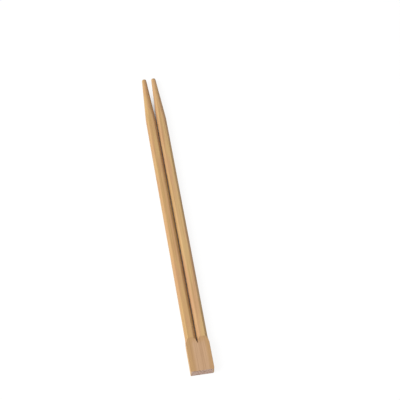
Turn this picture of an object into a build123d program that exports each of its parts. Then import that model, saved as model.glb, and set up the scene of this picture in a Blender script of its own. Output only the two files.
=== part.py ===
"""A pair of disposable bamboo chopsticks, still joined at the butt.

The pair is one piece of bamboo, so it is one solid. A flat strip is milled from above and from below
into two round sticks side by side. The milling stops short of the butt and runs out on a curve, which
leaves a flat block there, and a thin slit parts the sticks as far as that block. The user pulls the
two sticks apart, and the block splits along the grain.

Millimetres. X is across the pair, +Y runs along the grain from the butt to the tips, +Z is up. The
origin is under the middle of the pair, in the plane that the block's underside rests on.
"""

import math
import os

from build123d import *

# Overall
OVERALL_LENGTH = 210.0
BLOCK_LENGTH = 21.6  # from the butt face to where the milling reaches its full depth

# Sticks
STICK_DIAMETER = 6.2  # round profile of the milling cutters
CROWN_DEPTH = 0.42  # how much of the round is missing at the flat crown, top and bottom
CROWN_EDGE_RADIUS = 0.6  # softened edges of the flat crown
GROOVE_GAP = 0.45  # between the two sticks at their widest

# Block
SHOULDER = 0.22  # how far the block stands out beside each stick
FACE_STEP = 0.12  # how far the block stands out over and under the crowns
BLOCK_EDGE_RADIUS = 0.2  # broken long edges and butt edges
LEFT_CORNER_RADIUS = 0.35  # upright corners of the butt, seen from above with the tips away
RIGHT_CORNER_RADIUS = 0.9

# Run-out of the milling into the block
SPINDLE_HEIGHT = 2.2  # from the block's face to the middle of the cutter that leaves the run-out
CUTTER_OVERLAP = 0.3  # how far each cutter passes the middle of the strip

# Slit
SLIT_WIDTH = 0.35
WEB_THICKNESS = 0.6  # wood between the two cutters where the slit stops

# Tips
TAPER_LENGTH = 33.0
TIP_DIAMETER = 2.75
TIP_EDGE_RADIUS = 0.9
TIP_INSET = 0.35  # how far each tip leans in towards the other

# Worked out from the sizes above
STICK_RADIUS = STICK_DIAMETER / 2
STICK_PITCH = STICK_DIAMETER + GROOVE_GAP
STICK_THICKNESS = STICK_DIAMETER - 2 * CROWN_DEPTH
BLOCK_WIDTH = STICK_PITCH + STICK_DIAMETER + 2 * SHOULDER
BLOCK_THICKNESS = STICK_THICKNESS + 2 * FACE_STEP
MID_Z = BLOCK_THICKNESS / 2
CUTTER_RADIUS = SPINDLE_HEIGHT + BLOCK_THICKNESS / 2 + CUTTER_OVERLAP
BUTT_Y = -OVERALL_LENGTH / 2
TIP_Y = OVERALL_LENGTH / 2
MILLING_Y = BUTT_Y + BLOCK_LENGTH
TAPER_Y = TIP_Y - TAPER_LENGTH
CLEAR = 1.0  # how far a cutting tool reaches past the wood


def runout_length(height):
    """How far from MILLING_Y, towards the butt, the cutter's rim is at this height over its lowest point."""
    return math.sqrt(CUTTER_RADIUS**2 - (CUTTER_RADIUS - height) ** 2)


def stick_section():
    """Cross-section of one stick about its own middle: a round with a flat crown above and below."""
    section = Circle(STICK_RADIUS) & Rectangle(2 * STICK_DIAMETER, STICK_THICKNESS)
    return fillet(section.vertices(), CROWN_EDGE_RADIUS)


def strip_block():
    """The strip's butt end, not yet milled, up to where the milling is at its full depth."""
    block = Pos(0, BUTT_Y, 0) * Box(
        BLOCK_WIDTH, BLOCK_LENGTH, BLOCK_THICKNESS, align=(Align.CENTER, Align.MIN, Align.MIN)
    )
    left_corner, right_corner = block.edges().filter_by(Axis.Z).group_by(Axis.Y)[0].sort_by(Axis.X)
    block = fillet(left_corner, LEFT_CORNER_RADIUS)
    right_corner = block.edges().filter_by(Axis.Z).group_by(Axis.X)[-1].sort_by(Axis.Y)[0]
    block = fillet(right_corner, RIGHT_CORNER_RADIUS)
    butt_part = block.edges().filter_by(lambda edge: edge.center().Y < MILLING_Y - SLIT_WIDTH)
    rims = butt_part.group_by(Axis.Z)[0] + butt_part.group_by(Axis.Z)[-1]
    return fillet(rims, BLOCK_EDGE_RADIUS)


def upper_cutter_profile():
    """What the upper cutter takes away, as a face across the strip: all but the tops of the two sticks."""
    reach = BLOCK_THICKNESS / 2 + CLEAR
    swath = Rectangle(BLOCK_WIDTH + 2 * CLEAR, reach + CUTTER_OVERLAP, align=(Align.CENTER, Align.MIN))
    profile = Pos(0, -CUTTER_OVERLAP) * swath
    for side in (-1, 1):
        stick = Pos(side * STICK_PITCH / 2, 0) * stick_section()
        # Below the middle the cutter's sides are straight, so it never bites into a stick's lower half.
        flank = Rectangle(STICK_DIAMETER, 2 * CUTTER_OVERLAP, align=(Align.CENTER, Align.MAX))
        profile -= stick + Pos(side * STICK_PITCH / 2, 0) * flank
    return profile


def cutter_runout():
    """The volume that the upper cutter sweeps as it turns at the place where it lifts out of the strip."""
    across_strip = Plane(origin=(0, MILLING_Y, MID_Z), x_dir=(1, 0, 0), z_dir=(0, -1, 0))
    spindle = Axis((0, MILLING_Y, MID_Z - CUTTER_OVERLAP + CUTTER_RADIUS), (1, 0, 0))
    return revolve(across_strip * upper_cutter_profile(), spindle, revolution_arc=-90)


def slit():
    """The knife cut that parts the sticks: it stops in the run-out, with a round end."""
    stop_y = MILLING_Y - runout_length(CUTTER_OVERLAP + WEB_THICKNESS / 2)
    length = MILLING_Y + CLEAR - stop_y
    outline = Rectangle(SLIT_WIDTH, length - SLIT_WIDTH / 2, align=(Align.CENTER, Align.MIN))
    outline += Circle(SLIT_WIDTH / 2)
    return extrude(Pos(0, stop_y + SLIT_WIDTH / 2, 0) * outline, BLOCK_THICKNESS)


def milled_block():
    """The block with the run-outs of both cutters and the end of the slit."""
    upper = cutter_runout()
    lower = mirror(upper, Plane.XY.offset(MID_Z))
    return strip_block() - upper - lower - slit()


def tip_envelope():
    """The turned shape of one tip about the Y axis, from well before the taper to the end of the tip."""
    slope = (STICK_RADIUS - TIP_DIAMETER / 2) / TAPER_LENGTH
    tip_radius = TIP_DIAMETER / 2
    start_y = TAPER_Y - CLEAR / slope
    outline = Polyline(
        (0, MILLING_Y),
        (STICK_RADIUS + CLEAR, MILLING_Y),
        (STICK_RADIUS + CLEAR, start_y),
        (tip_radius, TIP_Y),
        (0, TIP_Y),
        close=True,
    )
    face = make_face(outline)
    tip_corner = face.vertices().filter_by(lambda v: v.Y > TIP_Y - CLEAR and v.X > tip_radius / 2)
    return revolve(fillet(tip_corner, TIP_EDGE_RADIUS), Axis.Y)


def stick(side):
    """One stick from the end of the milling to its tip. side is -1 for the left one and 1 for the right."""
    across_strip = Plane(origin=(side * STICK_PITCH / 2, MILLING_Y, MID_Z), x_dir=(1, 0, 0), z_dir=(0, -1, 0))
    shaft = extrude(across_strip * stick_section(), -(TIP_Y - MILLING_Y + CLEAR))
    lean = math.degrees(math.atan(TIP_INSET / TAPER_LENGTH))
    at_taper = Pos(side * STICK_PITCH / 2, TAPER_Y, MID_Z)
    envelope = at_taper * Rot(0, 0, side * lean) * Pos(0, -TAPER_Y, 0) * tip_envelope()
    return shaft & envelope


def chopstick_pair():
    """The whole pair as one solid."""
    return (milled_block() + stick(-1) + stick(1)).clean()


pair = chopstick_pair()
os.makedirs("parts", exist_ok=True)
export_step(pair, "parts/chopstick_pair.step")
size = pair.bounding_box().size
print(f"chopstick_pair: {len(pair.solids())} solid, {size.X:.2f} x {size.Y:.2f} x {size.Z:.2f} mm")
print(f"block {BLOCK_WIDTH:.2f} x {BLOCK_THICKNESS:.2f} mm, stick {STICK_DIAMETER:.2f} x {STICK_THICKNESS:.2f} mm")
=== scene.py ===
"""Bamboo chopsticks still joined at the butt, lying on a pale studio floor.

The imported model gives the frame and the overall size. The bamboo is modelled here again from the way it
is made: a flat strip, milled from above and below into two round sticks, with the milling running out
into the block at the butt. Metres throughout, X across the pair, +Y from the butt to the tips, +Z up.
"""

import logging
import math
from dataclasses import dataclass
from enum import Enum, IntEnum

import bpy
import numpy as np
from mathutils import Matrix, Vector


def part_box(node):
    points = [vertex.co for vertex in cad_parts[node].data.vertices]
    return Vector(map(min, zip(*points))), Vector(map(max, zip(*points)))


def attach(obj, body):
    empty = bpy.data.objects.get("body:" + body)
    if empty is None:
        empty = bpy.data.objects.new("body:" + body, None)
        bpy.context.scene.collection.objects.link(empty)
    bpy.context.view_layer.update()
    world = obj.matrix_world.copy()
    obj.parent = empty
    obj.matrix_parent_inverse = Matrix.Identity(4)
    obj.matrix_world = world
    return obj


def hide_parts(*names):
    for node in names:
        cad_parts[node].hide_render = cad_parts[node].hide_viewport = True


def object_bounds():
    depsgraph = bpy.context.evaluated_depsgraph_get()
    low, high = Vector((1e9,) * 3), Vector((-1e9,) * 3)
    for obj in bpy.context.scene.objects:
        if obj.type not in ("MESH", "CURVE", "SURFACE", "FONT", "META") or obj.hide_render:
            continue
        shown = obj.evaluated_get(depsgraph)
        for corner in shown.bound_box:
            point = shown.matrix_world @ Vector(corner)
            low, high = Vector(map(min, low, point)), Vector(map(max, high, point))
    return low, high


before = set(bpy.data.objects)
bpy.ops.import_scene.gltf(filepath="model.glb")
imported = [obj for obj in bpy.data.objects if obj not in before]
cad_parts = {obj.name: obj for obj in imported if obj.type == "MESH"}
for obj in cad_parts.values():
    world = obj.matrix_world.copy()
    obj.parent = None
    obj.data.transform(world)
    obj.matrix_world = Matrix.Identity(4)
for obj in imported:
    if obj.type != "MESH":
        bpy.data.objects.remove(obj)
CAD_LOW, CAD_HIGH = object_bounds()

LOG = logging.getLogger("chopsticks")
CAD_NODE = "chopstick_pair"
BODY = "root"
MM = 0.001
WHITE = (1.0, 1.0, 1.0, 1.0)
SPECULAR = 0.35
VESSEL_DEPTH = 1.6
PAIR_SHARP_ANGLE = 32.0
FIBRE_SHARP_ANGLE = 60.0

Triple = tuple[float, float, float]
Paint = tuple[float, float, float, float]
Input = bpy.types.NodeSocket | float


class Region(IntEnum):
    """Which tool left a stretch of the bamboo's surface, and so which finish it has."""

    MILLED = 0
    PLANED = 1
    END_GRAIN = 2


class Side(Enum):
    """One half of the pair, seen from above with the tips away."""

    LEFT = -1
    RIGHT = 1


# ---------------------------------------------------------------------------------------------------
# Node trees
# ---------------------------------------------------------------------------------------------------


def paint(red: float, green: float, blue: float) -> Paint:
    """Turns a colour as a painter would mix it on screen into the linear colour that a shader takes.

    Args:
        red: Screen red, from 0 to 1.
        green: Screen green, from 0 to 1.
        blue: Screen blue, from 0 to 1.

    Returns:
        The linear colour, with an alpha of 1.
    """
    linear = (c / 12.92 if c <= 0.04045 else ((c + 0.055) / 1.055) ** 2.4 for c in (red, green, blue))
    return (*linear, 1.0)


class NodeBench:
    """Adds nodes to one tree and links them, so that an effect reads as a short list of steps."""

    def __init__(self, tree: bpy.types.NodeTree) -> None:
        """Keeps the tree that the nodes are added to."""
        self.tree = tree

    def add(
        self, kind: str, inputs: dict[str | int, object] | None = None, **settings: object
    ) -> bpy.types.Node:
        """Adds one node.

        Args:
            kind: The node's type name.
            inputs: What each input takes, by name or number: an output to link, or a plain value.
            **settings: Values for the node's own properties.

        Returns:
            The new node.
        """
        node = self.tree.nodes.new(kind)
        for name, value in settings.items():
            setattr(node, name, value)
        for key, value in (inputs or {}).items():
            if isinstance(value, bpy.types.NodeSocket):
                self.tree.links.new(value, node.inputs[key])
            else:
                node.inputs[key].default_value = value
        return node

    def maths(self, operation: str, *values: Input, clamp: bool = False) -> bpy.types.NodeSocket:
        """Adds a Math node on the given values and returns its output."""
        node = self.add("ShaderNodeMath", dict(enumerate(values)), operation=operation, use_clamp=clamp)
        return node.outputs[0]

    def vector(self, operation: str, *values: object) -> bpy.types.NodeSocket:
        """Adds a Vector Math node on the given values and returns its vector output."""
        node = self.add("ShaderNodeVectorMath", dict(enumerate(values)), operation=operation)
        return node.outputs["Vector"]

    def scaled(self, vector: bpy.types.NodeSocket, scale: Input) -> bpy.types.NodeSocket:
        """Multiplies a vector by one value."""
        node = self.add("ShaderNodeVectorMath", {0: vector, "Scale": scale}, operation="SCALE")
        return node.outputs["Vector"]

    def combine(self, x: Input, y: Input, z: Input) -> bpy.types.NodeSocket:
        """Joins three values into a vector."""
        return self.add("ShaderNodeCombineXYZ", {0: x, 1: y, 2: z}).outputs[0]

    def ramp(
        self, value: Input, low: Input, high: Input, start: float = 0.0, end: float = 1.0
    ) -> bpy.types.NodeSocket:
        """Maps value smoothly from start at low to end at high, and holds it there beyond."""
        inputs = {"Value": value, "From Min": low, "From Max": high, "To Min": start, "To Max": end}
        return self.add("ShaderNodeMapRange", inputs, interpolation_type="SMOOTHSTEP").outputs[0]

    def blend(self, factor: Input, first: object, second: object, how: str = "MIX") -> bpy.types.NodeSocket:
        """Mixes two colours by a factor.

        Args:
            factor: 0 gives the first colour and 1 the second.
            first: A colour or an output.
            second: A colour or an output.
            how: The blend type, such as MIX or MULTIPLY.

        Returns:
            The mixed colour.
        """
        node = self.add("ShaderNodeMix", data_type="RGBA", blend_type=how, clamp_factor=True)
        for socket, value in zip((node.inputs[0], node.inputs[6], node.inputs[7]), (factor, first, second)):
            if isinstance(value, bpy.types.NodeSocket):
                self.tree.links.new(value, socket)
            else:
                socket.default_value = value
        return node.outputs[2]

    def noise(
        self, position: bpy.types.NodeSocket, detail: float = 2.0, roughness: float = 0.5
    ) -> bpy.types.Node:
        """Adds a Noise Texture at scale 1, because the position is already divided by the pattern's size."""
        inputs = {"Vector": position, "Scale": 1.0, "Detail": detail, "Roughness": roughness}
        return self.add("ShaderNodeTexNoise", inputs)


def new_group(
    name: str, kind: str, sockets: list[tuple[str, str, str, object]]
) -> tuple[NodeBench, bpy.types.Node, bpy.types.Node]:
    """Starts a node group with named inputs and outputs.

    Args:
        name: The group's name.
        kind: ShaderNodeTree or GeometryNodeTree.
        sockets: Each socket's name, INPUT or OUTPUT, short socket type, and default value or None.

    Returns:
        The bench for the tree, its input node and its output node.
    """
    tree = bpy.data.node_groups.new(name, kind)
    for label, way, short_type, value in sockets:
        socket = tree.interface.new_socket(label, in_out=way, socket_type=f"NodeSocket{short_type}")
        if value is not None:
            socket.default_value = value
    bench = NodeBench(tree)
    return bench, bench.add("NodeGroupInput"), bench.add("NodeGroupOutput")


# ---------------------------------------------------------------------------------------------------
# Grain, shared by every bamboo finish
# ---------------------------------------------------------------------------------------------------


@dataclass(frozen=True)
class BambooGrain:
    """The pattern that a culm's wall has inside, which every cut surface shows a slice of.

    The fibre bundles run along Y, so they are dots on a cut end and long streaks on a milled side.
    """

    bundle_pitch: float = 0.78 * MM
    bundle_length: float = 46.0 * MM
    fibre_pitch: float = 0.16 * MM
    fibre_length: float = 11.0 * MM
    patch_width: float = 3.2 * MM
    patch_length: float = 26.0 * MM
    wander: float = 0.35 * MM
    wander_width: float = 9.0 * MM
    wander_length: float = 60.0 * MM
    bundle_scatter: float = 0.9
    least_bundle: float = 0.2
    bundle_spread: float = 0.16
    bundle_edge: float = 0.2
    vessel_reach: tuple[float, float] = (0.06, 0.14)
    fibre_contrast: tuple[float, float] = (0.3, 0.7)
    patch_contrast: tuple[float, float] = (0.34, 0.66)

    def shader_group(self) -> bpy.types.NodeTree:
        """Builds the group that gives each finish the bundles, the fine fibres and the broad patches.

        Returns:
            A shader node group with the masks Bundle, Vessel, Fibre and Patch, each from 0 to 1.
        """
        sockets = [
            ("Bundle Pitch", "INPUT", "Float", self.bundle_pitch),
            ("Bundle Length", "INPUT", "Float", self.bundle_length),
            ("Fibre Pitch", "INPUT", "Float", self.fibre_pitch),
            ("Fibre Length", "INPUT", "Float", self.fibre_length),
            ("Bundle", "OUTPUT", "Float", None),
            ("Vessel", "OUTPUT", "Float", None),
            ("Fibre", "OUTPUT", "Float", None),
            ("Patch", "OUTPUT", "Float", None),
        ]
        bench, given, made = new_group("bamboo_grain", "ShaderNodeTree", sockets)
        place = self.wandering_place(bench)
        bundles = self.cells(bench, place, given.outputs["Bundle Pitch"], given.outputs["Bundle Length"])
        from_middle = bundles.outputs["Distance"]
        reach = bench.maths("MULTIPLY_ADD", bundles.outputs["Color"], self.bundle_spread, self.least_bundle)
        bundle = bench.ramp(from_middle, reach, bench.maths("ADD", reach, self.bundle_edge), 1.0, 0.0)
        vessel = bench.ramp(from_middle, *self.vessel_reach, 1.0, 0.0)
        fine = self.stretched(bench, place, given.outputs["Fibre Pitch"], given.outputs["Fibre Length"])
        fibre = bench.ramp(bench.noise(fine).outputs["Fac"], *self.fibre_contrast)
        patches = bench.noise(self.stretched(bench, place, self.patch_width, self.patch_length), 1.0)
        patch = bench.ramp(patches.outputs["Fac"], *self.patch_contrast)
        for label, value in (("Bundle", bundle), ("Vessel", vessel), ("Fibre", fibre), ("Patch", patch)):
            bench.tree.links.new(value, made.inputs[label])
        return bench.tree

    def wandering_place(self, bench: NodeBench) -> bpy.types.NodeSocket:
        """Gives the place on the object, shifted a little sideways along its length as the fibres wander.

        Args:
            bench: The bench of the tree that needs the place.

        Returns:
            The shifted place.
        """
        place = bench.add("ShaderNodeTexCoord").outputs["Object"]
        swing_size = (self.wander_width, self.wander_length, self.wander_width)
        slow = bench.noise(bench.vector("DIVIDE", place, swing_size), 1.0)
        swing = bench.vector("SUBTRACT", slow.outputs["Color"], (0.5, 0.5, 0.5))
        return bench.vector("MULTIPLY_ADD", swing, (self.wander, 0.0, self.wander), place)

    @staticmethod
    def stretched(
        bench: NodeBench, place: bpy.types.NodeSocket, pitch: Input, length: Input
    ) -> bpy.types.NodeSocket:
        """Divides a place by a pattern's pitch across the grain and its length along the grain."""
        return bench.vector("DIVIDE", place, bench.combine(pitch, length, pitch))

    def cells(
        self, bench: NodeBench, place: bpy.types.NodeSocket, pitch: Input, length: Input
    ) -> bpy.types.Node:
        """Adds the Voronoi cells whose middles are the fibre bundles."""
        inputs = {"Vector": self.stretched(bench, place, pitch, length), "Scale": 1.0}
        return bench.add("ShaderNodeTexVoronoi", {**inputs, "Randomness": self.bundle_scatter})


@dataclass(frozen=True)
class ToolMarks:
    """Faint ripples that a turning cutter or a saw leaves across the grain."""

    spacing: float = 0.9 * MM
    drift_size: Triple = (4.0 * MM, 9.0 * MM, 4.0 * MM)
    drift_turns: float = 2.5
    faint_to_strong: tuple[float, float] = (0.35, 0.65)

    def shader_group(self) -> bpy.types.NodeTree:
        """Builds the group that gives a finish the height of its tool marks.

        Returns:
            A shader node group with the value Ripple, from 0 to 1.
        """
        sockets = [
            ("Spacing", "INPUT", "Float", self.spacing),
            ("Direction", "INPUT", "Vector", (0.0, 1.0, 0.0)),
            ("Ripple", "OUTPUT", "Float", None),
        ]
        bench, given, made = new_group("tool_marks", "ShaderNodeTree", sockets)
        place = bench.add("ShaderNodeTexCoord").outputs["Object"]
        both = {0: place, 1: given.outputs["Direction"]}
        along = bench.add("ShaderNodeVectorMath", both, operation="DOT_PRODUCT")
        drift = bench.noise(bench.vector("DIVIDE", place, self.drift_size), 1.0).outputs["Fac"]
        turns = bench.maths("DIVIDE", along.outputs["Value"], given.outputs["Spacing"])
        drifted = bench.maths("MULTIPLY_ADD", drift, self.drift_turns, turns)
        angle = bench.maths("MULTIPLY", drifted, 2 * math.pi)
        wave = bench.maths("MULTIPLY_ADD", bench.maths("SINE", angle), 0.5, 0.5)
        strength = bench.ramp(drift, *self.faint_to_strong)
        bench.tree.links.new(bench.maths("MULTIPLY", wave, strength), made.inputs["Ripple"])
        return bench.tree


@dataclass(frozen=True)
class StripTone:
    """How the strip's colour changes from place to place: between its halves, and over the block."""

    butt: float
    block_starts: float = 20.5 * MM
    block_full: float = 15.5 * MM
    heart_middle: float = 0.6 * MM
    heart_inside: float = 2.9 * MM
    heart_outside: float = 4.6 * MM
    join_width: float = 0.2 * MM
    wave: float = 5.0 * MM
    wave_size: Triple = (2.2 * MM, 9.0 * MM, 2.2 * MM)

    def shader_group(self) -> bpy.types.NodeTree:
        """Builds the group that finds the block's heart and the left stick.

        Returns:
            A shader node group with the masks Heart and Left, each from 0 to 1.
        """
        sockets = [
            ("Butt", "INPUT", "Float", self.butt),
            ("Heart", "OUTPUT", "Float", None),
            ("Left", "OUTPUT", "Float", None),
        ]
        bench, given, made = new_group("strip_tone", "ShaderNodeTree", sockets)
        place = bench.add("ShaderNodeTexCoord").outputs["Object"]
        apart = bench.add("ShaderNodeSeparateXYZ", {0: place}).outputs
        drift = bench.noise(bench.vector("DIVIDE", place, self.wave_size), 1.0).outputs["Fac"]
        shift = bench.maths("MULTIPLY", bench.maths("SUBTRACT", drift, 0.5), self.wave)
        from_butt = bench.maths("ADD", bench.maths("SUBTRACT", apart["Y"], given.outputs["Butt"]), shift)
        block = bench.ramp(from_butt, self.block_full, self.block_starts, 1.0, 0.0)
        aside = bench.maths("ABSOLUTE", bench.maths("SUBTRACT", apart["X"], self.heart_middle))
        heart = bench.ramp(aside, self.heart_inside, self.heart_outside, 1.0, 0.0)
        left = bench.ramp(apart["X"], -self.join_width, self.join_width, 1.0, 0.0)
        bench.tree.links.new(bench.maths("MULTIPLY", block, heart), made.inputs["Heart"])
        off_block = bench.maths("SUBTRACT", 1.0, block)
        bench.tree.links.new(bench.maths("MULTIPLY", left, off_block), made.inputs["Left"])
        return bench.tree


# ---------------------------------------------------------------------------------------------------
# Finishes
# ---------------------------------------------------------------------------------------------------


@dataclass(frozen=True)
class BambooFinish:
    """One cut surface of the bamboo: its colours, and how strongly each part of the grain shows in it."""

    name: str
    ground: Paint
    patch: Paint
    heart: Paint
    left_tint: Paint
    bundle: Paint
    vessel: Paint
    bundle_strength: float
    vessel_strength: float
    fibre_strength: float
    roughness: tuple[float, float]
    bump: float
    ripple_spacing: float
    ripple_direction: Triple
    ripple_share: float

    def material(self, effects: dict[str, bpy.types.NodeTree]) -> bpy.types.Material:
        """Builds the material from the shared groups.

        Args:
            effects: The grain, marks and tone groups.

        Returns:
            The finished material.
        """
        material = bpy.data.materials.new(self.name)
        material.use_nodes = True
        bench = NodeBench(material.node_tree)
        shader = material.node_tree.nodes["Principled BSDF"]
        pattern = bench.add("ShaderNodeGroup", node_tree=effects["grain"]).outputs
        ripple = bench.add("ShaderNodeGroup", node_tree=effects["marks"])
        ripple.inputs["Spacing"].default_value = self.ripple_spacing
        ripple.inputs["Direction"].default_value = self.ripple_direction

        tone = bench.add("ShaderNodeGroup", node_tree=effects["tone"]).outputs
        colour = bench.blend(pattern["Patch"], self.ground, self.patch)
        colour = bench.blend(tone["Heart"], colour, self.heart)
        colour = bench.blend(tone["Left"], colour, self.left_tint, "MULTIPLY")
        shown = bench.maths("MULTIPLY", pattern["Bundle"], self.bundle_strength)
        colour = bench.blend(shown, colour, self.bundle)
        pore = bench.maths("MULTIPLY", pattern["Vessel"], self.vessel_strength)
        colour = bench.blend(pore, colour, self.vessel)
        darkest = 1 - self.fibre_strength
        shade = bench.maths("MULTIPLY_ADD", pattern["Fibre"], 2 * self.fibre_strength, darkest)
        grey = bench.combine(shade, shade, shade)
        colour = bench.blend(1.0, colour, grey, "MULTIPLY")
        bench.tree.links.new(colour, shader.inputs["Base Color"])

        rough = bench.ramp(pattern["Fibre"], 0.0, 1.0, *self.roughness)
        bench.tree.links.new(rough, shader.inputs["Roughness"])
        shader.inputs["Specular IOR Level"].default_value = SPECULAR

        hollow = bench.maths("MULTIPLY", pattern["Vessel"], VESSEL_DEPTH)
        fibre_height = bench.maths("SUBTRACT", pattern["Fibre"], hollow)
        height = bench.maths("MULTIPLY_ADD", ripple.outputs["Ripple"], self.ripple_share, fibre_height)
        bump = bench.add("ShaderNodeBump", {"Height": height, "Distance": self.bump, "Strength": 1.0})
        bench.tree.links.new(bump.outputs["Normal"], shader.inputs["Normal"])
        return material


MILLED = BambooFinish(
    name="milled_bamboo",
    ground=paint(0.800, 0.662, 0.455),
    patch=paint(0.785, 0.618, 0.450),
    heart=paint(0.775, 0.625, 0.485),
    left_tint=paint(0.975, 0.960, 0.930),
    bundle=paint(0.670, 0.500, 0.310),
    vessel=paint(0.520, 0.360, 0.200),
    bundle_strength=0.38,
    vessel_strength=0.25,
    fibre_strength=0.045,
    roughness=(0.50, 0.68),
    bump=0.012 * MM,
    ripple_spacing=1.1 * MM,
    ripple_direction=(0.0, 1.0, 0.0),
    ripple_share=0.25,
)
PLANED = BambooFinish(
    name="planed_bamboo",
    ground=paint(0.738, 0.585, 0.400),
    patch=paint(0.725, 0.572, 0.405),
    heart=paint(0.768, 0.622, 0.482),
    left_tint=WHITE,
    bundle=paint(0.640, 0.480, 0.345),
    vessel=paint(0.500, 0.350, 0.230),
    bundle_strength=0.42,
    vessel_strength=0.30,
    fibre_strength=0.05,
    roughness=(0.45, 0.62),
    bump=0.010 * MM,
    ripple_spacing=0.7 * MM,
    ripple_direction=(0.0, 1.0, 0.0),
    ripple_share=0.15,
)
END_GRAIN = BambooFinish(
    name="sawn_end_grain",
    ground=paint(0.790, 0.680, 0.620),
    patch=paint(0.765, 0.650, 0.590),
    heart=paint(0.780, 0.665, 0.605),
    left_tint=WHITE,
    bundle=paint(0.610, 0.455, 0.350),
    vessel=paint(0.330, 0.220, 0.150),
    bundle_strength=0.85,
    vessel_strength=0.80,
    fibre_strength=0.06,
    roughness=(0.70, 0.85),
    bump=0.030 * MM,
    ripple_spacing=0.45 * MM,
    ripple_direction=(0.35, 0.0, 1.0),
    ripple_share=0.5,
)
STRAY = BambooFinish(
    name="loose_fibre",
    ground=paint(0.860, 0.745, 0.560),
    patch=paint(0.830, 0.700, 0.510),
    heart=paint(0.830, 0.700, 0.510),
    left_tint=WHITE,
    bundle=paint(0.740, 0.580, 0.390),
    vessel=paint(0.740, 0.580, 0.390),
    bundle_strength=0.3,
    vessel_strength=0.0,
    fibre_strength=0.03,
    roughness=(0.55, 0.65),
    bump=0.002 * MM,
    ripple_spacing=1.0 * MM,
    ripple_direction=(0.0, 1.0, 0.0),
    ripple_share=0.0,
)


@dataclass(frozen=True)
class FloorFinish:
    """A pale matt sheet. Out in the open its brightness is mostly plain white; in crevices an ambient
    occlusion mask takes the plain white away, which paints shade into the slit and along the pair's edges.
    """

    name: str = "pale_floor"
    tone: float = 0.93
    roughness: float = 0.9
    plain_white: float = 0.86
    glow: float = 1.04
    painted_shade_reach: float = 4.0 * MM
    shut: float = 0.12
    open: float = 0.45

    def material(self) -> bpy.types.Material:
        """Builds the floor's material.

        Returns:
            The finished material.
        """
        material = bpy.data.materials.new(self.name)
        material.use_nodes = True
        bench = NodeBench(material.node_tree)
        matt = material.node_tree.nodes["Principled BSDF"]
        matt.inputs["Base Color"].default_value = (self.tone, self.tone, self.tone, 1.0)
        matt.inputs["Roughness"].default_value = self.roughness
        matt.inputs["Specular IOR Level"].default_value = 0.0
        white = bench.add("ShaderNodeEmission", {"Color": WHITE, "Strength": self.glow})
        seen = seen_directly(bench)
        # Painted shade: where ambient occlusion is low, in the slit and under the pair's edges, the plain
        # white fades out and the floor shows only its dim matt shading.
        around = bench.add("ShaderNodeAmbientOcclusion", {"Distance": self.painted_shade_reach}).outputs["AO"]
        clear = bench.ramp(around, self.shut, self.open, 0.0, self.plain_white)
        share = bench.maths("MULTIPLY", seen, clear)
        both = bench.add("ShaderNodeMixShader", {0: share, 1: matt.outputs[0], 2: white.outputs[0]})
        output = material.node_tree.nodes["Material Output"]
        bench.tree.links.new(both.outputs[0], output.inputs["Surface"])
        return material


def seen_directly(bench: NodeBench) -> bpy.types.NodeSocket:
    """Gives 1 where a camera, a reflection or a view through glass sees the surface, and 0 for its light.

    Args:
        bench: The bench of the material or the world.

    Returns:
        The value.
    """
    path = bench.add("ShaderNodeLightPath").outputs
    reflected = bench.maths("MAXIMUM", path["Is Glossy Ray"], path["Is Transmission Ray"])
    return bench.maths("MAXIMUM", path["Is Camera Ray"], reflected)


# ---------------------------------------------------------------------------------------------------
# The bamboo
# ---------------------------------------------------------------------------------------------------


def rounding(distance: np.ndarray, radius: float) -> np.ndarray:
    """How far a rounded corner falls back from its flat face.

    Args:
        distance: How far each point is from the other face that meets at the corner.
        radius: The corner's radius.

    Returns:
        The fall at each point, which is 0 beyond the radius.
    """
    inside = np.clip(radius - distance, 0.0, radius)
    return radius - np.sqrt(radius**2 - inside**2)


def smooth_lesser(first: np.ndarray, second: float, width: float) -> np.ndarray:
    """The lesser of two heights, with the edge between them softened over the given width."""
    share = np.clip(0.5 + 0.5 * (second - first) / width, 0.0, 1.0)
    return second + (first - second) * share - width * share * (1 - share)


@dataclass
class Outline:
    """The top of one half at one station: the place of each column, with heights over the strip's middle."""

    across: np.ndarray
    along: np.ndarray
    height: np.ndarray


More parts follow.
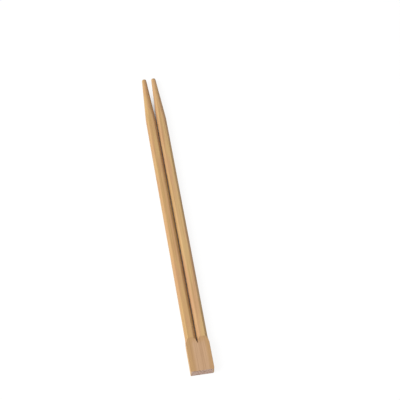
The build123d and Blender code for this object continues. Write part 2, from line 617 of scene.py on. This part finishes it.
@dataclass
class MilledPair:
    """The two sticks and the block that joins them, as one closed skin.

    Each half of the pair is a closed loop of points at each station along Y. The loop runs over the top
    from the slit outwards, down the side, back underneath, and up the slit's wall. Points that fall
    together, such as those of the two halves where nothing parts them, are welded.
    """

    length: float
    width: float
    thickness: float
    butt: float
    block_length: float = 21.6 * MM
    stick_diameter: float = 6.2 * MM
    face_step: float = 0.12 * MM
    groove_gap: float = 0.45 * MM
    spindle_height: float = 2.2 * MM
    slit_run: float = 2.45 * MM
    shoulder_run: float = 3.4 * MM
    flat_run: float = 5.4 * MM
    arris: float = 0.2 * MM
    crown_softness: float = 0.14 * MM
    taper_length: float = 33.0 * MM
    tip_diameter: float = 2.75 * MM
    tip_edge: float = 0.62 * MM
    tip_inset: float = 0.35 * MM
    taper_softness: float = 0.035
    left_corner: float = 0.35 * MM
    right_corner: float = 0.9 * MM
    shaft_step: float = 1.15 * MM
    taper_step: float = 0.95 * MM
    block_step: float = 0.8 * MM
    stick_columns: int = 64
    web_columns: int = 2
    arris_columns: int = 4
    side_rows: int = 12
    tip_stations: int = 6
    taper_lead: float = 3.0 * MM
    slit_stations: int = 5
    runout_stations: int = 21
    face_stations: int = 8
    corner_stations: int = 10
    weld_reach: float = 0.0002 * MM

    @classmethod
    def from_frame(cls) -> "MilledPair":
        """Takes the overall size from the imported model.

        Returns:
            The pair, with every other size as it stands here.
        """
        low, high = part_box(CAD_NODE)
        size = high - low
        return cls(length=size.y, width=size.x, thickness=size.z, butt=low.y)

    @property
    def radius(self) -> float:
        """Half the diameter of a stick."""
        return self.stick_diameter / 2

    @property
    def half_pitch(self) -> float:
        """How far the middle of each stick is from the middle of the pair."""
        return (self.stick_diameter + self.groove_gap) / 2

    @property
    def crown(self) -> float:
        """Height of a stick's flat crown over the middle of the strip."""
        return self.thickness / 2 - self.face_step

    @property
    def spindle(self) -> float:
        """Height of the cutter's spindle over the middle of the strip."""
        return self.thickness / 2 + self.spindle_height

    @property
    def milling_end(self) -> float:
        """Y of the place where the milling is at its full depth."""
        return self.butt + self.block_length

    @property
    def tip(self) -> float:
        """Y of the end of the tips."""
        return self.butt + self.length

    # The columns of one half, from the slit outwards over the top.

    def turns(self) -> np.ndarray:
        """The angle of each stick column about the stick's middle, from straight up."""
        return np.linspace(-math.pi / 2, math.pi / 2, self.stick_columns + 1)

    def top_heights(self, section_radius: float) -> np.ndarray:
        """Height of each top column over the middle of the strip, where the milling is at its full depth.

        Args:
            section_radius: Radius of the stick there.

        Returns:
            The heights, from the slit outwards.
        """
        stick = smooth_lesser(section_radius * np.cos(self.turns()), self.crown, self.crown_softness)
        stick = np.clip(stick, 0.0, None)
        stick[[0, -1]] = 0.0
        return np.concatenate([np.zeros(self.web_columns), stick, np.zeros(self.arris_columns)])

    def loop(self, place: Outline, side: Side) -> np.ndarray:
        """Closes one station's outline into the full loop of one half.

        Args:
            place: The half outline over the top.
            side: Which half it is.

        Returns:
            The loop's points, in order.
        """
        top = np.column_stack([place.across, place.along, place.height])
        down = np.linspace(1.0, -1.0, self.side_rows + 1)[1:-1, None]
        flip = np.array([1.0, 1.0, -1.0])
        outer = np.hstack([np.repeat(top[-1:, :2], len(down), 0), down * top[-1, 2]])
        inner = np.hstack([np.repeat(top[:1, :2], len(down), 0), -down * top[0, 2]])
        points = np.vstack([top, outer, top[::-1] * flip, inner])
        points[:, 0] *= side.value
        points[:, 2] += self.thickness / 2
        return points

    def stick_outline(self, y: float) -> Outline:
        """The outline of a station where the sticks are apart, out to the tips.

        Args:
            y: The station's place.

        Returns:
            The half outline.
        """
        past = (y - (self.tip - self.taper_length)) / self.taper_length
        share = (math.hypot(past, self.taper_softness) + past) / 2
        section = self.radius - (self.radius - self.tip_diameter / 2) * share
        section -= float(rounding(np.array(self.tip - y), self.tip_edge))
        middle = self.half_pitch - self.tip_inset * share
        stick = middle + section * np.sin(self.turns())
        inner = np.full(self.web_columns, stick[0])
        outer = np.full(self.arris_columns, stick[-1])
        height = self.top_heights(section)
        across = np.concatenate([inner, stick, outer])
        return Outline(across, np.full(len(across), y), height)

    def exit_run(self) -> np.ndarray:
        """How far past the end of the milling each top column's cut comes out of the block's face."""
        depth = self.spindle - self.top_heights(self.radius)
        return np.sqrt(depth**2 - self.spindle_height**2)

    def runout_outline(self, share: float) -> Outline:
        """The outline of a station in the run-out, bent so that each column reaches the face together.

        Args:
            share: How far each column has run, from 0 at full depth to 1 at the block's face.

        Returns:
            The half outline.
        """
        run = share * self.exit_run()
        depth = self.spindle - self.top_heights(self.radius)
        height = self.spindle - np.sqrt(depth**2 - run**2)
        return self.block_outline(self.milling_end - run, height, 0.0)

    def face_outline(self, share: float) -> Outline:
        """The outline of a station on the block, between the run-out's arched edge and a straight line."""
        run = self.exit_run() * (1 - share) + self.flat_run * share
        return self.block_outline(self.milling_end - run, np.full(len(run), self.thickness / 2), 0.0)

    def butt_outline(self, y: float, corner: float) -> Outline:
        """The outline of a station on the block.

        Args:
            y: The station's place.
            corner: Radius of this half's upright corner at the butt.

        Returns:
            The half outline.
        """
        columns = len(self.exit_run())
        from_butt = np.array(y - self.butt)
        height = self.thickness / 2 - float(rounding(from_butt, self.arris))
        drawn_in = float(rounding(from_butt, corner))
        return self.block_outline(np.full(columns, y), np.full(columns, height), drawn_in)

    def block_outline(self, along: np.ndarray, height: np.ndarray, drawn_in: float) -> Outline:
        """Places the columns across the block, with the slit, the shoulder and the arris.

        Args:
            along: Y of each column.
            height: Height of each column over the middle of the strip.
            drawn_in: How far the outer side stands back from the block's full width.

        Returns:
            The half outline.
        """
        run = self.milling_end - along[-1]
        gap = self.groove_gap / 2
        into_end = np.clip((run - (self.slit_run - gap)) / gap, 0.0, 1.0)
        slit = gap * math.sqrt(1 - into_end**2)
        ramp = np.clip(run / self.shoulder_run, 0.0, 1.0)
        stick_side = self.half_pitch + self.radius
        side = stick_side + (self.width / 2 - stick_side) * ramp**2 * (3 - 2 * ramp)

        web = np.linspace(slit, gap, self.web_columns + 1)[:-1]
        stick = self.half_pitch + self.radius * np.sin(self.turns())
        edge = min(self.arris, 0.5 * height[-1], side - stick_side)
        turn = np.linspace(0.0, math.pi / 2, self.arris_columns)
        arris = side - edge + edge * np.sin(turn)
        across = np.concatenate([web, stick, arris])
        height = height.copy()
        height[-self.arris_columns :] -= edge * (1 - np.cos(turn))
        return Outline(across * (1 - drawn_in / (self.width / 2)), along, height)

    # The skin

    def outlines(self, corner: float) -> tuple[list[Outline], dict[str, int]]:
        """Every station of one half, from the tip to the butt.

        Args:
            corner: Radius of this half's upright corner at the butt.

        Returns:
            The outlines, and the numbers of the stations at which the slit is shut and the block's
            face begins.
        """
        tip_turn = np.linspace(0.0, math.pi / 2, self.tip_stations + 1)[:-1]
        tip_stations = self.tip - self.tip_edge * (1 - np.cos(tip_turn))
        taper_end = self.tip - self.taper_length - self.taper_lead
        taper_count = round((tip_stations[-1] - taper_end) / self.taper_step)
        shaft_count = round((taper_end - self.milling_end) / self.shaft_step)
        taper = np.linspace(tip_stations[-1], taper_end, taper_count + 1)[1:-1]
        shaft = np.linspace(taper_end, self.milling_end, shaft_count + 1)
        places = [self.stick_outline(y) for y in (*tip_stations, *taper, *shaft)]
        marks = {}

        web_exit = self.exit_run()[0]
        gap = self.groove_gap / 2
        slit_turn = np.linspace(0.0, math.pi / 2, self.slit_stations)
        slit_end = self.slit_run - gap + gap * np.sin(slit_turn)
        even_shares = np.linspace(0, 1, self.runout_stations)[1:]
        shares = np.unique(np.round([*even_shares, *slit_end / web_exit], 6))
        marks["slit_shut"] = len(places) + int(np.searchsorted(shares, self.slit_run / web_exit - 1e-5))
        places += [self.runout_outline(share) for share in shares]
        marks["face"] = len(places) - 1
        places += [self.face_outline(share) for share in np.linspace(0, 1, self.face_stations)[1:]]

        round_end = self.butt + max(self.left_corner, self.right_corner)
        butt_turn = np.linspace(math.pi / 2, 0.0, self.corner_stations)
        block_start = self.milling_end - self.flat_run
        block_count = round((block_start - round_end) / self.block_step)
        flat = np.linspace(block_start, round_end, block_count + 1)[1:-1]
        corner_stations = self.butt + (round_end - self.butt) * (1 - np.cos(butt_turn))
        places += [self.butt_outline(y, corner) for y in (*flat, *corner_stations)]
        return places, marks

    def half_skin(self, side: Side) -> tuple[np.ndarray, list[tuple[int, ...]], list[Region]]:
        """The points and faces of one half, its two ends among them.

        Args:
            side: Which half it is.

        Returns:
            The points, the faces as point numbers, and each face's region.
        """
        corner = self.left_corner if side is Side.LEFT else self.right_corner
        places, marks = self.outlines(corner)
        loops = [self.loop(place, side) for place in places]
        size = len(loops[0])
        tops = len(places[0].across)
        faces: list[tuple[int, ...]] = []
        regions: list[Region] = []
        for station in range(len(loops) - 1):
            shut = station >= marks["slit_shut"]
            on_face = station >= marks["face"]
            for point in range(size):
                after = (point + 1) % size
                on_slit_wall = point >= 2 * tops + self.side_rows - 2
                if shut and on_slit_wall:
                    continue
                here, there = station * size, (station + 1) * size
                quad = (here + point, here + after, there + after, there + point)
                faces.append(quad if side is Side.LEFT else quad[::-1])
                on_top = point < tops - 1
                underneath = tops + self.side_rows - 1 <= point < 2 * tops + self.side_rows - 2
                flat = on_face and (on_top or underneath)
                regions.append(Region.PLANED if flat else Region.MILLED)

        points = np.vstack(loops)
        for loop, facing_tips in ((0, True), (len(loops) - 1, False)):
            cap, cap_faces = self.end_cap(loops[loop], tops, facing_tips == (side is Side.RIGHT))
            faces += [tuple(len(points) + corner for corner in face) for face in cap_faces]
            regions += [Region.END_GRAIN] * len(cap_faces)
            points = np.vstack([points, cap])
        return points, faces, regions

    def end_cap(self, loop: np.ndarray, tops: int, turned: bool) -> tuple[np.ndarray, list[tuple[int, ...]]]:
        """The flat end of one half, as upright rows of points between its top and its underside.

        Args:
            loop: The end station's loop.
            tops: How many points of the loop are on top.
            turned: Whether the faces wind the other way.

        Returns:
            The points, and the faces as point numbers.
        """
        top = loop[:tops]
        bottom = top * np.array([1.0, 1.0, -1.0]) + np.array([0.0, 0.0, self.thickness])
        shares = np.linspace(0.0, 1.0, self.side_rows + 1)
        grid = np.array([top * (1 - share) + bottom * share for share in shares])
        faces = []
        for row in range(self.side_rows):
            for column in range(tops - 1):
                first = row * tops + column
                quad = (first, first + 1, first + tops + 1, first + tops)
                faces.append(quad[::-1] if turned else quad)
        return grid.reshape(-1, 3), faces

    def skin(self) -> bpy.types.Mesh:
        """Welds the two halves into one closed mesh, with each face's region as an attribute.

        Returns:
            The mesh.
        """
        left, left_faces, left_regions = self.half_skin(Side.LEFT)
        right, right_faces, right_regions = self.half_skin(Side.RIGHT)
        points = np.vstack([left, right])
        right_faces = [tuple(corner + len(left) for corner in face) for face in right_faces]
        spots = np.round(points / self.weld_reach)
        _, keep, welded = np.unique(spots, axis=0, return_index=True, return_inverse=True)
        welded = welded.reshape(-1)
        faces: list[list[int]] = []
        regions: list[int] = []
        for face, region in zip([*left_faces, *right_faces], [*left_regions, *right_regions]):
            corners = list(dict.fromkeys(int(welded[corner]) for corner in face))
            if len(corners) > 2:
                faces.append(corners)
                regions.append(int(region))
        mesh = bpy.data.meshes.new("bamboo_skin")
        mesh.from_pydata(points[keep].tolist(), [], faces)
        mesh.attributes.new("region", "INT", "FACE").data.foreach_set("value", regions)
        mesh.validate()
        return mesh


# ---------------------------------------------------------------------------------------------------
# Geometry node trees
# ---------------------------------------------------------------------------------------------------


@dataclass(frozen=True)
class FibreRelief:
    """The fine lengthwise ridges and torn grooves that milling leaves in bamboo."""

    ridge_pitch: float = 0.42 * MM
    ridge_length: float = 18.0 * MM
    ridge_depth: float = 0.016 * MM
    groove_pitch: float = 0.75 * MM
    groove_length: float = 9.0 * MM
    groove_depth: float = 0.045 * MM
    wander: float = 0.05 * MM
    wander_width: float = 30.0 * MM
    wander_length: float = 45.0 * MM
    wander_upright: float = 0.6
    groove_offset: Triple = (0.05, 0.11, 0.02)
    groove_contrast: tuple[float, float] = (0.6, 0.74)

    def apply(
        self, skin: bpy.types.Mesh, finishes: dict[Region, bpy.types.Material], name: str
    ) -> bpy.types.Object:
        """Gives the skin its relief and its finishes, and bakes the result into a plain mesh.

        Args:
            skin: The smooth bamboo skin.
            finishes: The material of each region.
            name: The finished piece's name.

        Returns:
            The piece, linked into the scene.
        """
        return bake(skin, self.tree(finishes), self.sizes(), name)

    def sizes(self) -> dict[str, float]:
        """Gives the tree's named inputs and their values."""
        return {
            "Ridge Pitch": self.ridge_pitch,
            "Ridge Length": self.ridge_length,
            "Ridge Depth": self.ridge_depth,
            "Groove Pitch": self.groove_pitch,
            "Groove Length": self.groove_length,
            "Groove Depth": self.groove_depth,
            "Wander": self.wander,
        }

    def tree(self, finishes: dict[Region, bpy.types.Material]) -> bpy.types.NodeTree:
        """Builds the tree that moves each point of the skin and sets each region's finish.

        Args:
            finishes: The material of each region.

        Returns:
            The tree.
        """
        sockets = [("Geometry", "INPUT", "Geometry", None), ("Geometry", "OUTPUT", "Geometry", None)]
        sockets += [(label, "INPUT", "Float", MM) for label in self.sizes()]
        bench, given, made = new_group("fibre_relief", "GeometryNodeTree", sockets)
        place = bench.add("GeometryNodeInputPosition").outputs[0]
        size = given.outputs

        ridge_place = BambooGrain.stretched(bench, place, size["Ridge Pitch"], size["Ridge Length"])
        ridges = bench.noise(ridge_place, 3.0)
        ridge = bench.maths("MULTIPLY", bench.maths("SUBTRACT", ridges.outputs[0], 0.5), size["Ridge Depth"])
        shifted = bench.vector("ADD", place, self.groove_offset)
        groove_place = BambooGrain.stretched(bench, shifted, size["Groove Pitch"], size["Groove Length"])
        groove = bench.ramp(bench.noise(groove_place, 1.0).outputs[0], *self.groove_contrast)
        drop = bench.maths("MULTIPLY", groove, size["Groove Depth"])
        lift = bench.maths("SUBTRACT", bench.maths("MULTIPLY", ridge, 2.0), drop)
        normal = bench.add("GeometryNodeInputNormal").outputs[0]
        relief = bench.scaled(normal, lift)

        swing_size = (self.wander_width, self.wander_length, self.wander_width)
        slow = bench.noise(bench.vector("DIVIDE", place, swing_size), 0.0)
        swing = bench.vector("SUBTRACT", slow.outputs["Color"], (0.5, 0.5, 0.5))
        drift = bench.vector("MULTIPLY", bench.scaled(swing, size["Wander"]), (1.0, 0.0, self.wander_upright))

        offset = bench.vector("ADD", relief, drift)
        moved = bench.add("GeometryNodeSetPosition", {"Geometry": size["Geometry"], "Offset": offset})
        marked = bench.add(
            "GeometryNodeStoreNamedAttribute",
            {"Geometry": moved.outputs[0], "Name": "torn_grain", "Value": groove},
            data_type="FLOAT",
            domain="POINT",
        )
        shown = bench.add("GeometryNodeRealizeInstances", {0: marked.outputs[0]}).outputs[0]
        region = bench.add("GeometryNodeInputNamedAttribute", {"Name": "region"}, data_type="INT").outputs[0]
        for kind, material in finishes.items():
            same = bench.add("FunctionNodeCompare", data_type="INT", operation="EQUAL")
            bench.tree.links.new(region, same.inputs[2])
            same.inputs[3].default_value = int(kind)
            chosen = {"Geometry": shown, "Selection": same.outputs[0], "Material": material}
            shown = bench.add("GeometryNodeSetMaterial", chosen).outputs[0]
        bench.tree.links.new(shown, made.inputs[0])
        return bench.tree


@dataclass(frozen=True)
class StrayFibres:
    """Loose slivers that stand a little way off the milled edges, rooted in the bamboo."""

    density: float = 9.0e4
    longest: float = 3.2 * MM
    thickness: float = 0.035 * MM
    lift: float = 0.05
    seed: int = 11
    torn_enough: float = 0.6
    sideways: float = 0.05
    tilt: float = 0.03
    least_stretch: Triple = (0.7, 0.7, 0.2)
    most_stretch: Triple = (1.3, 1.3, 1.0)
    sag: float = 0.03
    point: float = 0.12

    def apply(self, bamboo: bpy.types.Mesh, finish: bpy.types.Material, name: str) -> bpy.types.Object:
        """Scatters the slivers over the bamboo and bakes them into a plain mesh.

        Args:
            bamboo: The finished bamboo.
            finish: The slivers' material.
            name: The finished piece's name.

        Returns:
            The piece, linked into the scene.
        """
        values = {
            "Density": self.density,
            "Longest": self.longest,
            "Thickness": self.thickness,
            "Lift": self.lift,
            "Seed": self.seed,
        }
        return bake(bamboo.copy(), self.tree(finish), values, name)

    def tree(self, finish: bpy.types.Material) -> bpy.types.NodeTree:
        """Builds the tree that scatters slivers where the grain is torn.

        Args:
            finish: The slivers' material.

        Returns:
            The tree.
        """
        sockets = [
            ("Geometry", "INPUT", "Geometry", None),
            ("Geometry", "OUTPUT", "Geometry", None),
            ("Density", "INPUT", "Float", self.density),
            ("Longest", "INPUT", "Float", self.longest),
            ("Thickness", "INPUT", "Float", self.thickness),
            ("Lift", "INPUT", "Float", self.lift),
            ("Seed", "INPUT", "Int", self.seed),
        ]
        bench, given, made = new_group("stray_fibres", "GeometryNodeTree", sockets)
        size = given.outputs
        attribute = bench.add("GeometryNodeInputNamedAttribute", {"Name": "torn_grain"}, data_type="FLOAT")
        torn = attribute.outputs[0]
        facing = bench.add("GeometryNodeInputNormal").outputs[0]
        facing_up = bench.add("ShaderNodeSeparateXYZ", {0: facing}).outputs["Z"]
        upward = bench.maths("GREATER_THAN", facing_up, 0.0)
        chosen = bench.maths("MINIMUM", bench.maths("GREATER_THAN", torn, self.torn_enough), upward)
        spots = bench.add(
            "GeometryNodeDistributePointsOnFaces",
            {"Mesh": size["Geometry"], "Selection": chosen, "Density": size["Density"], "Seed": size["Seed"]},
            distribute_method="RANDOM",
        )
        sliver = self.sliver(bench, size["Longest"], size["Thickness"])
        one_way = (-self.sideways, 1.0, -self.tilt)
        grain = self.random(bench, one_way, (self.sideways, 1.0, self.tilt), size["Seed"])
        heading = bench.vector("ADD", grain, bench.scaled(spots.outputs["Normal"], size["Lift"]))
        turn = bench.add("FunctionNodeAlignRotationToVector", {"Vector": heading}, axis="Z")
        stretch = self.random(bench, self.least_stretch, self.most_stretch, size["Seed"])
        stand = {"Points": spots.outputs["Points"], "Instance": sliver}
        stand |= {"Rotation": turn.outputs[0], "Scale": stretch}
        placed = bench.add("GeometryNodeInstanceOnPoints", stand)
        real = bench.add("GeometryNodeRealizeInstances", {0: placed.outputs[0]})
        dressed = bench.add("GeometryNodeSetMaterial", {"Geometry": real.outputs[0], "Material": finish})
        bench.tree.links.new(dressed.outputs[0], made.inputs[0])
        return bench.tree

    @staticmethod
    def random(bench: NodeBench, low: Triple, high: Triple, seed: Input) -> bpy.types.NodeSocket:
        """Gives each point a random vector between two limits.

        Args:
            bench: The bench of the tree.
            low: The lower limit of each part.
            high: The upper limit of each part.
            seed: The seed.

        Returns:
            The random vector.
        """
        node = bench.add("FunctionNodeRandomValue", data_type="FLOAT_VECTOR")
        node.inputs[0].default_value = low
        node.inputs[1].default_value = high
        bench.tree.links.new(seed, node.inputs["Seed"])
        return node.outputs[0]

    def sliver(
        self, bench: NodeBench, longest: bpy.types.NodeSocket, thickness: bpy.types.NodeSocket
    ) -> bpy.types.NodeSocket:
        """Makes one sliver along Z: a bent, pointed fibre with closed ends.

        Args:
            bench: The bench of the tree.
            longest: The sliver's length.
            thickness: The sliver's radius at its root.

        Returns:
            The sliver's mesh.
        """
        bow = bench.maths("MULTIPLY", longest, self.sag)
        middle = bench.combine(0.0, bow, bench.maths("MULTIPLY", longest, 0.5))
        end = bench.combine(0.0, 0.0, longest)
        bend = {"Resolution": 5, "Start": (0, 0, 0), "Middle": middle, "End": end}
        path = bench.add("GeometryNodeCurveQuadraticBezier", bend)
        along = bench.add("GeometryNodeSplineParameter").outputs["Factor"]
        radius = bench.maths("MULTIPLY", bench.ramp(along, 0.2, 1.0, 1.0, self.point), thickness)
        ring = bench.add("GeometryNodeCurvePrimitiveCircle", {"Resolution": 5, "Radius": 1.0})
        inputs = {"Curve": path.outputs[0], "Profile Curve": ring.outputs[0]}
        inputs |= {"Scale": radius, "Fill Caps": True}
        return bench.add("GeometryNodeCurveToMesh", inputs).outputs[0]


def bake(
    source: bpy.types.Mesh, tree: bpy.types.NodeTree, values: dict[str, float], name: str
) -> bpy.types.Object:
    """Runs a geometry node tree on a mesh and keeps the result as a plain mesh.

    Args:
        source: The mesh that the tree starts from.
        tree: The tree.
        values: What each named input of the tree is set to.
        name: The new object's name.

    Returns:
        The new object, at the origin, with no modifier.
    """
    piece = bpy.data.objects.new(name, source)
    bpy.context.scene.collection.objects.link(piece)
    modifier = piece.modifiers.new(tree.name, "NODES")
    modifier.node_group = tree
    sockets = {item.name: item.identifier for item in tree.interface.items_tree if item.in_out == "INPUT"}
    for label, value in values.items():
        modifier[sockets[label]] = value
    ready = piece.evaluated_get(bpy.context.evaluated_depsgraph_get())
    baked = bpy.data.meshes.new_from_object(ready)
    piece.modifiers.clear()
    piece.data = baked
    baked.name = name
    return piece


# ---------------------------------------------------------------------------------------------------
# The studio
# ---------------------------------------------------------------------------------------------------


@dataclass(frozen=True)
class Studio:
    """A white room: a pale floor, an even surround, and one broad lamp from the upper left."""

    surround: float = 0.40
    key_share: float = 0.70
    key_size: float = 0.9
    key_distance: float = 1.3
    key_azimuth: float = -74.0
    key_elevation: float = 44.0
    floor_reach: float = 4.0
    floor_drop: float = 0.05 * MM

    def build(self) -> None:
        """Makes the floor, the surround and the lamp."""
        self.floor()
        self.light_surround()
        self.key_lamp()
        bpy.context.scene.view_settings.view_transform = "Standard"

    def floor(self) -> None:
        """Lays the floor just under the plane that the object rests on."""
        reach = self.floor_reach
        corners = [(-reach, -reach, 0.0), (reach, -reach, 0.0), (reach, reach, 0.0), (-reach, reach, 0.0)]
        mesh = bpy.data.meshes.new("floor")
        mesh.from_pydata(corners, [], [(0, 1, 2, 3)])
        mesh.materials.append(FloorFinish().material())
        floor = bpy.data.objects.new("floor", mesh)
        bpy.context.scene.collection.objects.link(floor)
        floor.location.z = CAD_LOW.z - self.floor_drop

    def light_surround(self) -> None:
        """Lights the scene evenly from all round, and shows plain white behind it."""
        world = bpy.data.worlds.new("surround")
        world.use_nodes = True
        bpy.context.scene.world = world
        bench = NodeBench(world.node_tree)
        background = world.node_tree.nodes["Background"]
        background.inputs["Color"].default_value = WHITE
        strength = bench.maths("MULTIPLY_ADD", seen_directly(bench), 1.0 - self.surround, self.surround)
        bench.tree.links.new(strength, background.inputs["Strength"])

    def key_lamp(self) -> None:
        """Hangs the broad lamp, at the power that adds key_share of a plain light level to the floor."""
        lamp = bpy.data.lights.new("key_lamp", "AREA")
        lamp.size = self.key_size
        slant = math.sin(math.radians(self.key_elevation))
        lamp.energy = self.key_share * (math.pi * self.key_distance) ** 2 / slant
        key = bpy.data.objects.new("key_lamp", lamp)
        bpy.context.scene.collection.objects.link(key)
        towards = direction(self.key_azimuth, self.key_elevation)
        key.location = towards * self.key_distance
        key.rotation_euler = towards.to_track_quat("Z", "Y").to_euler()


def direction(azimuth: float, elevation: float) -> Vector:
    """The direction from the object to an eye or a lamp.

    Args:
        azimuth: Degrees round the object. 0 is on the butt's side and negative angles are to the left.
        elevation: Degrees above the floor.

    Returns:
        A unit vector.
    """
    around, up = math.radians(azimuth), math.radians(elevation)
    return Vector((math.sin(around) * math.cos(up), -math.cos(around) * math.cos(up), math.sin(up)))


@dataclass(frozen=True)
class Camera:
    """A long lens that looks down on the pair from beyond the butt, a little from the left."""

    azimuth: float = -10.4
    elevation: float = 55.99
    roll: float = -1.18
    distance: float = 0.7786
    focus_right: float = 17.68 * MM
    focus_forward: float = 10.11 * MM
    lens: float = 116.1

    def build(self) -> None:
        """Makes the camera and gives it to the scene."""
        data = bpy.data.cameras.new("camera")
        data.lens = self.lens
        data.clip_start = 0.05
        camera = bpy.data.objects.new("camera", data)
        bpy.context.scene.collection.objects.link(camera)
        back = direction(self.azimuth, self.elevation)
        focus = Vector((self.focus_right, self.focus_forward, 0.0))
        turn = back.to_track_quat("Z", "Y").to_matrix().to_4x4()
        roll = Matrix.Rotation(math.radians(-self.roll), 4, "Z")
        camera.matrix_world = Matrix.Translation(focus + back * self.distance) @ turn @ roll
        bpy.context.scene.camera = camera


# ---------------------------------------------------------------------------------------------------
# Making the scene
# ---------------------------------------------------------------------------------------------------


def finish_piece(piece: bpy.types.Object, sharp_angle: float) -> None:
    """Shades a piece smooth up to an angle, and lets it ride on the object's body.

    Args:
        piece: The finished piece.
        sharp_angle: Degrees between two faces, past which their edge stays crisp.
    """
    piece.data.shade_smooth()
    piece.data.set_sharp_from_angle(angle=math.radians(sharp_angle))
    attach(piece, BODY)
    LOG.info("%s: %d points, %d faces", piece.name, len(piece.data.vertices), len(piece.data.polygons))


def main() -> None:
    """Builds the bamboo, its loose fibres, the studio and the camera, in that order."""
    logging.basicConfig(level=logging.INFO, format="%(name)s: %(message)s")
    effects = {
        "grain": BambooGrain().shader_group(),
        "marks": ToolMarks().shader_group(),
        "tone": StripTone(butt=CAD_LOW.y).shader_group(),
    }
    finishes = {
        Region.MILLED: MILLED.material(effects),
        Region.PLANED: PLANED.material(effects),
        Region.END_GRAIN: END_GRAIN.material(effects),
    }
    pair = FibreRelief().apply(MilledPair.from_frame().skin(), finishes, "bamboo_pair")
    slivers = StrayFibres().apply(pair.data, STRAY.material(effects), "loose_fibres")
    finish_piece(pair, PAIR_SHARP_ANGLE)
    finish_piece(slivers, FIBRE_SHARP_ANGLE)
    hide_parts(CAD_NODE)
    Studio().build()
    Camera().build()


if __name__ == "__main__":
    main()
